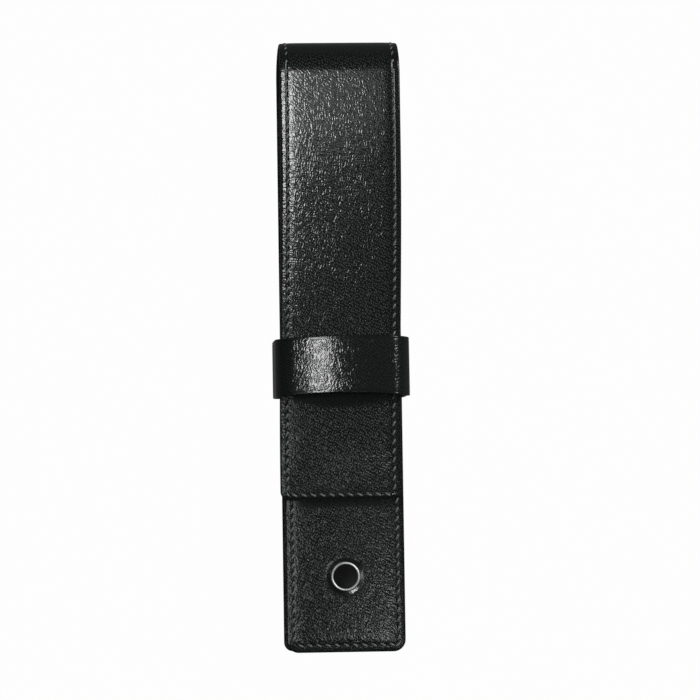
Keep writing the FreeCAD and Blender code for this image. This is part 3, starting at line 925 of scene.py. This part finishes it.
def channel(outer, thickness, low, high, leg, count=24):
    """Closed channel section: outer web, upper leg, inner web and lower leg, listed face then back."""
    height = np.linspace(low, high, count)
    inner_height = np.linspace(low + thickness, high - thickness, count)
    tip = outer - leg
    face = [np.array([tip]), outer + bowed(height), np.array([tip])]
    face_height = [np.array([low]), height, np.array([high])]
    inner = outer - thickness + bowed(inner_height)
    back = [np.array([tip]), inner[::-1], np.array([tip])]
    back_height = [np.array([high - thickness]), inner_height[::-1], np.array([low + thickness])]
    return np.concatenate(face + back), np.concatenate(face_height + back_height)


def wall_piece(name, section, top, finish, slot, node):
    """A closed side wall: the section carried along the U, with both ends capped."""
    offset, height = section
    points = carried(*u_path(top), offset, height)
    rows, columns = points.shape[:2]
    pairs = np.arange(columns // 2 - 1)
    cap = np.stack([pairs, pairs + 1, columns - 2 - pairs, columns - 1 - pairs], axis=-1)
    faces = np.concatenate([grid_faces(rows, columns, wrap_columns=True), cap, cap + (rows - 1) * columns])
    steps = np.linalg.norm(np.diff(points[:, 1], axis=0), axis=-1)
    along = np.concatenate([[0.0], np.cumsum(steps)])[:, None]
    grain = np.full((rows, columns), WALL_GRAIN)
    piece = make_piece(name, points, faces, finish, grain, (along, offset + height))
    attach(piece, "pouch")
    stand_in(piece, slot, node)


wall_section = channel(0.0, WALL, wall_low, wall_high, LEG)
wall_piece("gusset_leather_skin", wall_section, mouth_edge, box_calf, "calf_leather", "gusset_leather")
lining_section = channel(-WALL, LINING, wall_low + WALL, wall_high - WALL, LINING_LEG)
wall_piece("gusset_lining_sheet", lining_section, mouth_edge - LINING_SETBACK, suede_lining, "lining",
           "gusset_lining")

# %% [markdown]
# ## The loop
# The loop is a band of stiff calf with a lining, closed round the whole case. Its section is a
# flat strip with rounded, painted rims and a creased line beside each rim, pressed in with a hot
# iron. The section is carried round a closed outline: flat behind, straight at the sides, small
# round shoulders and a shallow arch in front. The flap pushes the lower rim of the front out, so
# the arch leans a little.

# %% Outline of the loop
ARCH_RADIUS = 81.5
SHOULDER = 5.5
HEEL = 2.3
band_half = band_high[0]
band_middle = (band_low[1] + band_high[1]) / 2
band_width = band_high[1] - band_low[1]
band_skin = band_half - corners("band_lining")[1][0]


def loop_outline():
    """Outer outline of the loop from the middle of its back round to itself, with outward directions."""
    arch_z = band_high[2] - ARCH_RADIUS
    shoulder_x = band_half - SHOULDER
    shoulder_z = arch_z + math.sqrt((ARCH_RADIUS - SHOULDER) ** 2 - shoulder_x ** 2)
    lean = math.atan2(shoulder_z - arch_z, shoulder_x)
    heel_turn = np.linspace(-np.pi / 2, 0, 10)
    shoulder_turn = np.linspace(0, lean, 26)
    arch_turn = np.linspace(lean, np.pi / 2, 42)[1:]
    behind = np.linspace(0, band_half - HEEL, 16)[:-1]
    side = np.linspace(band_low[2] + HEEL, shoulder_z, 18)[1:-1]
    x = np.concatenate([behind, band_half - HEEL + HEEL * np.cos(heel_turn), np.full(len(side), band_half),
                        shoulder_x + SHOULDER * np.cos(shoulder_turn), ARCH_RADIUS * np.cos(arch_turn)])
    z = np.concatenate([np.full(len(behind), band_low[2]), band_low[2] + HEEL + HEEL * np.sin(heel_turn),
                        side, shoulder_z + SHOULDER * np.sin(shoulder_turn),
                        arch_z + ARCH_RADIUS * np.sin(arch_turn)])
    turn = np.concatenate([np.full(len(behind), -np.pi / 2), heel_turn, np.zeros(len(side)), shoulder_turn,
                           arch_turn])
    x = np.concatenate([x, -x[-2:0:-1]])
    z = np.concatenate([z, z[-2:0:-1]])
    out_x = np.concatenate([np.cos(turn), -np.cos(turn)[-2:0:-1]])
    out_z = np.concatenate([np.sin(turn), np.sin(turn)[-2:0:-1]])
    return x, z, out_x, out_z


print("loop outline has", len(loop_outline()[0]), "points")

# %% [markdown]
# The section of the band is a closed outline in two directions: across the band and through its
# thickness. The crease is a narrow bell curve that dips beside each rim. The pattern of the hide
# starts and ends at the middle of the loop's back, where the jump between the two is out of sight.

# %% Section of the loop and the two layers
BAND_LINING = 0.6
CREASE_PLACE = 0.6
CREASE_DEPTH = 0.03
CREASE_WIDTH = 0.16
BAND_RIM = 0.25
RIM_ZONE = 2.0
BAND_START = 2.2
BAND_STEP = 0.7
RIM_GRAIN = 0.3
RIM_FADE = (0.5, 1.3)
ARCH_LEAN = 0.075
UPPER_BOW = 0.55
LOWER_BOW = 0.95
BOW_MIDDLE = 0.6
UPPER_TILT = 0.4


def band_section(outer, inner, creased):
    """Face with a crease beside each rim, back without, closed by half-round rims."""
    half = band_width / 2
    edge = np.concatenate([FINE[FINE < RIM_ZONE], np.arange(BAND_START, half, BAND_STEP)])
    across = np.concatenate([edge - half, [0.0], (half - edge)[::-1]])
    distance = half - np.abs(across)
    closing = np.sqrt(1 - (1 - np.clip(distance / BAND_RIM, 0, 1)) ** 2)
    middle, thick = (outer + inner) / 2, (outer - inner) / 2
    crease = CREASE_DEPTH * np.exp(-((distance - CREASE_PLACE) / CREASE_WIDTH) ** 2) if creased else 0.0
    face = middle + (thick - crease) * closing
    back = middle - thick * closing
    return np.concatenate([across, across[-2:0:-1]]), np.concatenate([face, back[-2:0:-1]])


def band_layer(name, outer, inner, finish, slot, node, creased):
    """Carries a section round the loop; in front it leans out at the lower rim, and both rims bow upwards.

    The upper rim also climbs a little from the left end to the right one.
    """
    x, z, out_x, out_z = loop_outline()
    across, depth = band_section(outer, inner, creased)
    points_x = x[:, None] + out_x[:, None] * depth
    points_y = band_middle + np.broadcast_to(across, points_x.shape)
    upper = 0.5 + (points_y - band_middle) / band_width
    bow = LOWER_BOW + (UPPER_BOW - LOWER_BOW) * upper
    climb = UPPER_TILT * upper * (0.5 + 0.5 * points_x / band_half)
    points_z = z[:, None] + out_z[:, None] * depth
    front_share = smooth(fold_middle_z, band_high[2] - 1, points_z)
    points_z = points_z - ARCH_LEAN * front_share * np.broadcast_to(across, points_z.shape)
    points_y = points_y + front_share * (bow * (BOW_MIDDLE - (points_x / band_half) ** 2) + climb)
    points = np.stack([points_x, points_y, points_z], axis=-1)
    rows, columns = points.shape[:2]
    distance = band_width / 2 - np.abs(across)
    rim_grain = RIM_GRAIN + (1 - RIM_GRAIN) * smooth(*RIM_FADE, distance)
    grain = np.broadcast_to(rim_grain, (rows, columns))
    steps = np.hypot(np.diff(x), np.diff(z))
    along = np.concatenate([[0.0], np.cumsum(steps)])[:, None]
    piece = make_piece(name, points, grid_faces(rows, columns, True, True), finish, grain, (across, along))
    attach(piece, "band")
    stand_in(piece, slot, node)


band_layer("band_leather_skin", 0.0, -band_skin, band_calf, "calf_leather", "band_leather", True)
band_layer("band_lining_sheet", -band_skin, -band_skin - BAND_LINING, band_suede, "band_lining_leather",
           "band_lining", False)

# %% [markdown]
# ## Stitches
# Each stitch is a short piece of waxed thread that rises out of one hole and dives into the next,
# a little slanted to the seam, as hand stitches are. One stitch is a grid of rings along its length;
# all stitches of a seam are made at once as a larger array. They are placed with the same formulas
# as the leather, so they bend round the fold with it.

# %% The stitch builder
PITCH = 2.4
STITCH = 2.0
STITCH_LIFT = 0.16
TIGHT_LIFT = -0.07
THREAD = 0.28
STITCH_SINK = 0.42
SLANT = math.radians(26)
TAPER = 0.995
FLATTENED = 0.85
RINGS = 7
SIDES = 8


def seam_line(start, end, slant):
    """Evenly spaced stitches between two points of the flat piece: middles and slanted directions."""
    start, end = np.array(start, float), np.array(end, float)
    length = np.linalg.norm(end - start)
    count = max(int(round(length / PITCH)), 1)
    middles = start + (end - start) * ((np.arange(count) + 0.5) / count)[:, None]
    heading = math.atan2(end[1] - start[1], end[0] - start[0]) + slant
    return middles, np.full(count, heading)


def stitches(name, place, relief, middles, headings, finish, rise=STITCH_LIFT):
    """Rings of a tapering thread along each stitch, lifted in the middle and sunk at both ends."""
    t = np.linspace(-1, 1, RINGS)
    around = np.linspace(0, 2 * np.pi, SIDES, endpoint=False)
    girth = THREAD * np.sqrt(1 - (TAPER * t) ** 6)
    along = np.repeat((t * STITCH / 2)[:, None], SIDES, axis=1)
    across = girth[:, None] * np.cos(around)
    lift = (-STITCH_SINK * t ** 4)[:, None] + FLATTENED * girth[:, None] * np.sin(around)
    direction = np.stack([np.cos(headings), np.sin(headings)], axis=-1)
    aside = np.stack([-np.sin(headings), np.cos(headings)], axis=-1)
    flat_points = (middles[:, None, None, :] + along[None, :, :, None] * direction[:, None, None, :]
                   + across[None, :, :, None] * aside[:, None, None, :])
    ground = relief(middles[:, 0], middles[:, 1])[:, None, None] + rise
    points = place(flat_points[..., 0], flat_points[..., 1], ground + lift)
    tube = grid_faces(RINGS, SIDES, wrap_columns=True)
    near = np.arange(SIDES // 2 - 1)
    lid = np.stack([near, near + 1, SIDES - 2 - near, SIDES - 1 - near], axis=-1)
    one = np.concatenate([tube, lid, lid + (RINGS - 1) * SIDES])
    starts = np.arange(len(middles)) * RINGS * SIDES
    faces = (one[None] + starts[:, None, None]).reshape(-1, 4)
    return make_piece(name, points, faces, finish)


print("thread", 2 * THREAD, "mm thick, a stitch about every", PITCH, "mm")

# %% [markdown]
# The seam of the pouch runs down one side, across the bottom and up the other, and shows on the
# front and on the back. The seam of the flap starts on the fold, where no panel lies behind it,
# and goes round the end of the flap. Over the fold the leather is drawn tight, so the stitches lie
# deeper in it.

# %% Stitched seams
CORNER_GAP = 0.6
BACK_STOP = 0.2
seam_x = half_body - SEAM
flap_x = half_flap - SEAM


def joined(*lines):
    """Several stretches of stitches as one list."""
    return np.concatenate([m for m, h in lines]), np.concatenate([h for m, h in lines])


def pouch_seam(top, slant):
    """Up one side as far as a top, across the bottom and up the other side."""
    sides = [seam_line((x, SEAM + CORNER_GAP), (x, top), slant) for x in (-seam_x, seam_x)]
    bottom = seam_line((-seam_x + CORNER_GAP, SEAM), (seam_x - CORNER_GAP, SEAM), slant)
    return joined(sides[0], bottom, sides[1])


front_seam = pouch_seam(front_run - CORNER_GAP, -SLANT)
front_thread = stitches("front_seam_stitches", front_place, front_relief, *front_seam, painted_sheen_thread)
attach(front_thread, "pouch")
stand_in(front_thread, "thread", "front_seam_thread")

back_seam = pouch_seam(CUTS["back"][1] - BACK_STOP, SLANT)
back_thread = stitches("back_seam_stitches", strip_place, strip_relief, *back_seam, painted_sheen_thread)
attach(back_thread, "pouch")
stand_in(back_thread, "thread", "back_seam_thread")

for stretch in ("fold_low", "fold_mid", "fold_top", "flap"):
    start, end = CUTS[stretch]
    stop = min(end, seam_end - CORNER_GAP)
    lines = [seam_line((x, start), (x, stop), SLANT) for x in (-flap_x, flap_x)]
    if stretch == "flap":
        lines.append(seam_line((-flap_x + CORNER_GAP, seam_end), (flap_x - CORNER_GAP, seam_end), SLANT))
    rise = STITCH_LIFT if stretch == "flap" else TIGHT_LIFT
    thread = stitches(f"{stretch}_seam_stitches", strip_place, strip_relief, *joined(*lines), painted_sheen_thread,
                      rise)
    follow(thread, stretch, "thread", "thread")

# %% [markdown]
# ## The button
# A turned ring of polished steel holds a slightly domed disc of black resin. Both are turned
# parts, so each is a profile of radius and height spun round the button's middle.

# %% Turned parts
TURNS = 96
SEAT_SINK = 0.05
RING_FOOT = (0.12, 0.15)
RING_ROUND = 0.45
RECESS = 0.3
DISC_CLEARANCE = 0.03
DISC_GLUE = 0.02
DISC_DOME = 0.05


def turned(name, radius, height, finish, slot, node):
    """Spins a closed profile of radius and height round the button's axis."""
    angle = np.linspace(0, 2 * np.pi, TURNS, endpoint=False)[:, None]
    x = button_x + radius * np.cos(angle)
    y = button_y + radius * np.sin(angle)
    points = np.stack([x, y, np.broadcast_to(height, x.shape)], axis=-1)
    piece = make_piece(name, points, grid_faces(*points.shape[:2], True, True), finish)
    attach(piece, "pouch")
    stand_in(piece, slot, node)


disc_low, disc_high = corners("emblem_disc")
disc_radius = (disc_high[0] - disc_low[0]) / 2
seat = front_high[2] - DIMPLE_DEPTH + FRONT_FULLNESS + FRONT_CROWN - SEAT_SINK
recess = seat + RECESS
ring_turn = np.linspace(0, np.pi, 25)
ring_middle = (button_radius + disc_radius) / 2
ring_half = (button_radius - disc_radius) / 2
ring_radius = np.concatenate([[button_radius - RING_FOOT[0], button_radius],
                              ring_middle + ring_half * np.cos(ring_turn), [disc_radius, 0.0, 0.0]])
ring_height = np.concatenate([[seat, seat + RING_FOOT[1]],
                              bezel_high[2] + RING_ROUND * (np.sin(ring_turn) - 1), [recess, recess, seat]])
turned("button_ring", ring_radius, ring_height, steel, "polished_metal", "emblem_bezel")

dome = np.linspace(0, 1, 14)
disc_rim = disc_radius - DISC_CLEARANCE
disc_foot = recess + DISC_GLUE
disc_profile = np.concatenate([dome * disc_rim, [disc_rim, 0.0]])
disc_height = np.concatenate([disc_high[2] - DISC_DOME * dome ** 2, [disc_foot, disc_foot]])
turned("button_disc", disc_profile, disc_height, resin, "black_resin", "emblem_disc")

# %% [markdown]
# ## Pieces that stay as they are
# The boards and the washer are hidden and already have the right shape, so they only get a finish.

# %% Finishes for the solids that stay
STAYING = {"back_board": board_fibre, "front_board": board_fibre, "emblem_washer": washer_steel}
for node, finish in STAYING.items():
    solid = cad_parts[node]
    solid.data.materials.clear()
    solid.data.materials.append(finish)
print("boards and washer finished")

# %% [markdown]
# ## Floor
# The case lies on a white floor. Paper could be lit until it is white, but so much light would make
# black leather grey. So the floor looks white to the camera, is only faintly white in mirrors, and for
# all other rays it is plain paint that takes a shadow.

# %% Floor
FLOOR_REACH = 6.0
FLOOR_GAP = 0.0002
WHITE_SHARE = 0.985
MIRRORED_SHARE = 0.05
CORNER_SIGNS = ((-1, -1), (1, -1), (1, 1), (-1, 1))
floor_mesh = bpy.data.meshes.new("floor")
floor_corners = [(x * FLOOR_REACH, y * FLOOR_REACH, -FLOOR_GAP) for x, y in CORNER_SIGNS]
floor_mesh.from_pydata(floor_corners, [], [(0, 1, 2, 3)])
floor = bpy.data.objects.new("floor", floor_mesh)
bpy.context.scene.collection.objects.link(floor)

paper, tree = new_finish("white_paper_floor")
path = add(tree, "ShaderNodeLightPath")
mirrored = add(tree, "ShaderNodeMath", {"operation": "MULTIPLY"}, {1: MIRRORED_SHARE},
               {0: path.outputs["Is Glossy Ray"]})
seen = add(tree, "ShaderNodeMath", {"operation": "MAXIMUM"},
           links={0: path.outputs["Is Camera Ray"], 1: path.outputs["Is Transmission Ray"]})
direct = add(tree, "ShaderNodeMath", {"operation": "MULTIPLY"}, {1: WHITE_SHARE}, {0: seen.outputs[0]})
share = add(tree, "ShaderNodeMath", {"operation": "MAXIMUM"},
            links={0: direct.outputs[0], 1: mirrored.outputs[0]})
paint = add(tree, "ShaderNodeBsdfDiffuse", values={"Color": colour("#5c5c5c")})
glow = add(tree, "ShaderNodeEmission", values={"Color": (1, 1, 1, 1), "Strength": 1.0})
mix = add(tree, "ShaderNodeMixShader", links={0: share.outputs[0], 1: paint.outputs[0], 2: glow.outputs[0]})
add(tree, "ShaderNodeOutputMaterial", links={"Surface": mix.outputs[0]})
floor_mesh.materials.append(paper)
print("floor", 2 * FLOOR_REACH, "m wide")

# %% [markdown]
# ## Light
# A small soft lamp stands high at the upper left, as the tight highlights on the loop and the flap
# show. The main lamp stands lower at the upper right, where the shadows under the loop and the flap's
# end point to. A weak one stands at the lower right, a weak strip at the left lights the left margins,
# and another, close over the fold, lights the flap's upper end evenly across. The rest of the room is
# dim and even, so that black leather stays black.

# %% Room light and lamps
ROOM = 0.10
world = bpy.data.worlds.new("dim_even_room")
bpy.context.scene.world = world
world.use_nodes = True
world.node_tree.nodes.clear()
room = add(world.node_tree, "ShaderNodeBackground", values={"Color": (0.94, 1, 0.97, 1), "Strength": ROOM})
add(world.node_tree, "ShaderNodeOutputWorld", links={"Surface": room.outputs[0]})


def lamp(name, place, width, depth, watts, aim=(0.0, 0.0, 0.0)):
    """A soft lamp with a rectangular face that is turned to a point of the case."""
    light = bpy.data.lights.new(name, "AREA")
    light.shape = "RECTANGLE"
    light.size = width
    light.size_y = depth
    light.energy = watts
    stand = bpy.data.objects.new(name, light)
    stand.location = place
    stand.rotation_euler = (Vector(aim) - Vector(place)).to_track_quat("-Z", "Y").to_euler()
    bpy.context.scene.collection.objects.link(stand)
    print(name, "at", place, "with", watts, "W")


lamp("high_softbox", (-0.11, 0.20, 1.0), 0.12, 0.12, 1.4)
lamp("upper_right_key", (0.70, 0.50, 0.75), 0.45, 0.45, 8.5)
lamp("lower_right_fill", (0.14, -0.15, 1.0), 0.08, 0.08, 0.22)
lamp("left_strip", (-0.20, -0.10, 1.0), 0.06, 0.25, 0.35)
lamp("fold_strip", (-0.005, 0.100, 0.22), 0.08, 0.05, 0.018, (0.0, 0.06, 0.02))

# %% [markdown]
# ## Camera
# The camera stands about a metre over the case, a little to its left and towards its bottom end, which
# is where the lines of the case place it. Its angle of view follows from the length of the case in the
# picture, which is square, and it is turned by less than a degree.

# %% Camera
FRAME_PIXELS = 700
FOCAL_PIXELS = 3728
CAMERA_PLACE = Vector((-0.060, -0.050, 1.0))
CAMERA_AIM = Vector((0.00208, -0.00144, 0.019))
ROLL = math.radians(-0.87)
toward = (CAMERA_PLACE - CAMERA_AIM).normalized()
side = Vector((0, 1, 0)).cross(toward).normalized()
above = toward.cross(side)
side, above = (side * math.cos(ROLL) + above * math.sin(ROLL),
               above * math.cos(ROLL) - side * math.sin(ROLL))
camera_data = bpy.data.cameras.new("camera")
camera_data.angle = 2 * math.atan(FRAME_PIXELS / 2 / FOCAL_PIXELS)
camera = bpy.data.objects.new("camera", camera_data)
turned_axes = Matrix((side, above, toward)).transposed().to_4x4()
camera.matrix_world = Matrix.Translation(CAMERA_PLACE) @ turned_axes
bpy.context.scene.collection.objects.link(camera)
bpy.context.scene.camera = camera
bpy.context.scene.view_settings.view_transform = "Standard"
print("camera", (CAMERA_PLACE - CAMERA_AIM).length, "m away")
